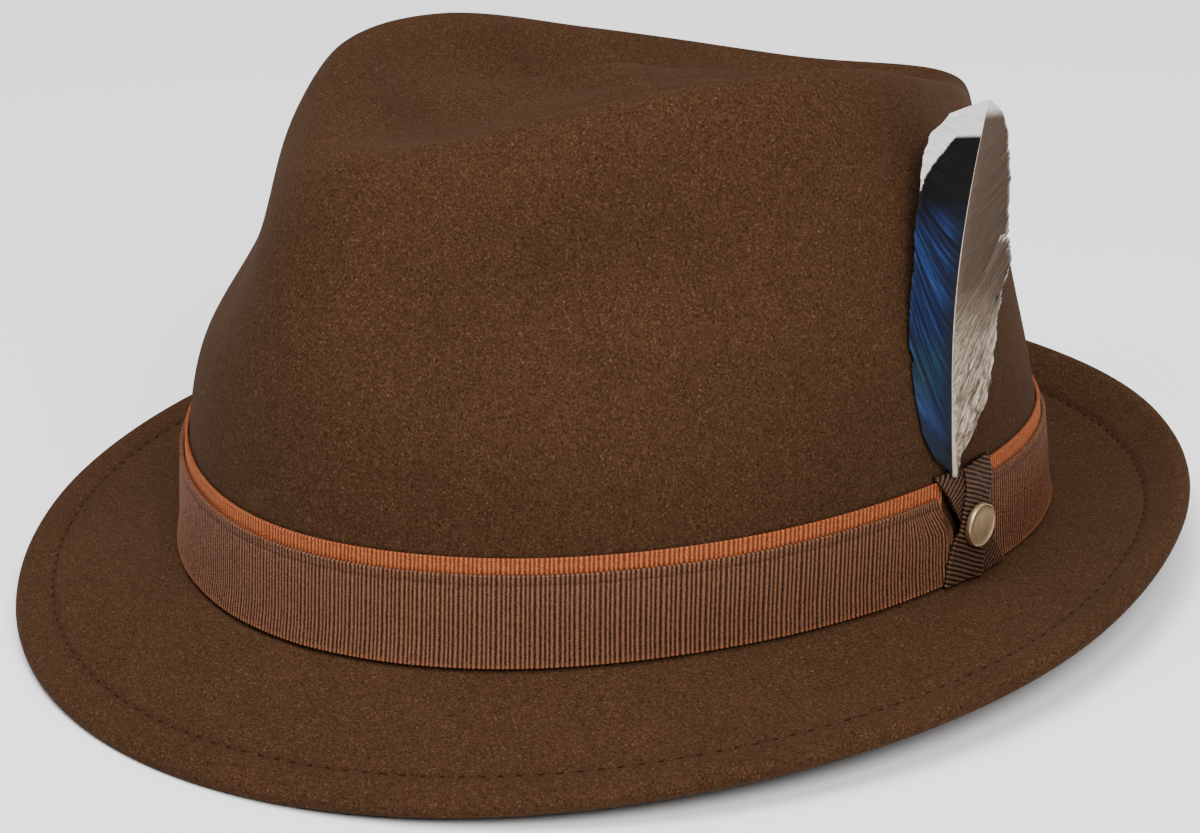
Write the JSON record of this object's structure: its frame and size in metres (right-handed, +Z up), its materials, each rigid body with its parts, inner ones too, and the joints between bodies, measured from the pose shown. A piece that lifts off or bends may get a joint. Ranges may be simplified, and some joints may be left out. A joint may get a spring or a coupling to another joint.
{
  "type": "trilby hat with a ribbon band, knot, stud and feather",
  "caption": "Short-brimmed brown felt trilby with a teardrop crown, ribbed brown band with an orange edge, side knot, plain stud and small blue and grey feather.",
  "frame": {"origin": "middle of the bounding box's bottom face, on the surface that the hat rests on", "axes": "+Z up, -Y to the front of the hat, +X to the wearer's left, where the knot and feather are"},
  "size_m": [0.2456, 0.2698, 0.1235],
  "materials": {
    "felt": "matte",
    "trim": "matte",
    "band": "satin",
    "band_dark": "satin",
    "stud_brass": "satin",
    "feather": "satin"
  },
  "bodies": {
    "root": {"felt_body": "felt", "trim_ribbon": "trim", "band_ribbon": "band", "bow_strap_under": "band_dark", "bow_strap_over": "band_dark", "stud": "stud_brass", "feather": "feather"}
  },
  "joints": []
}
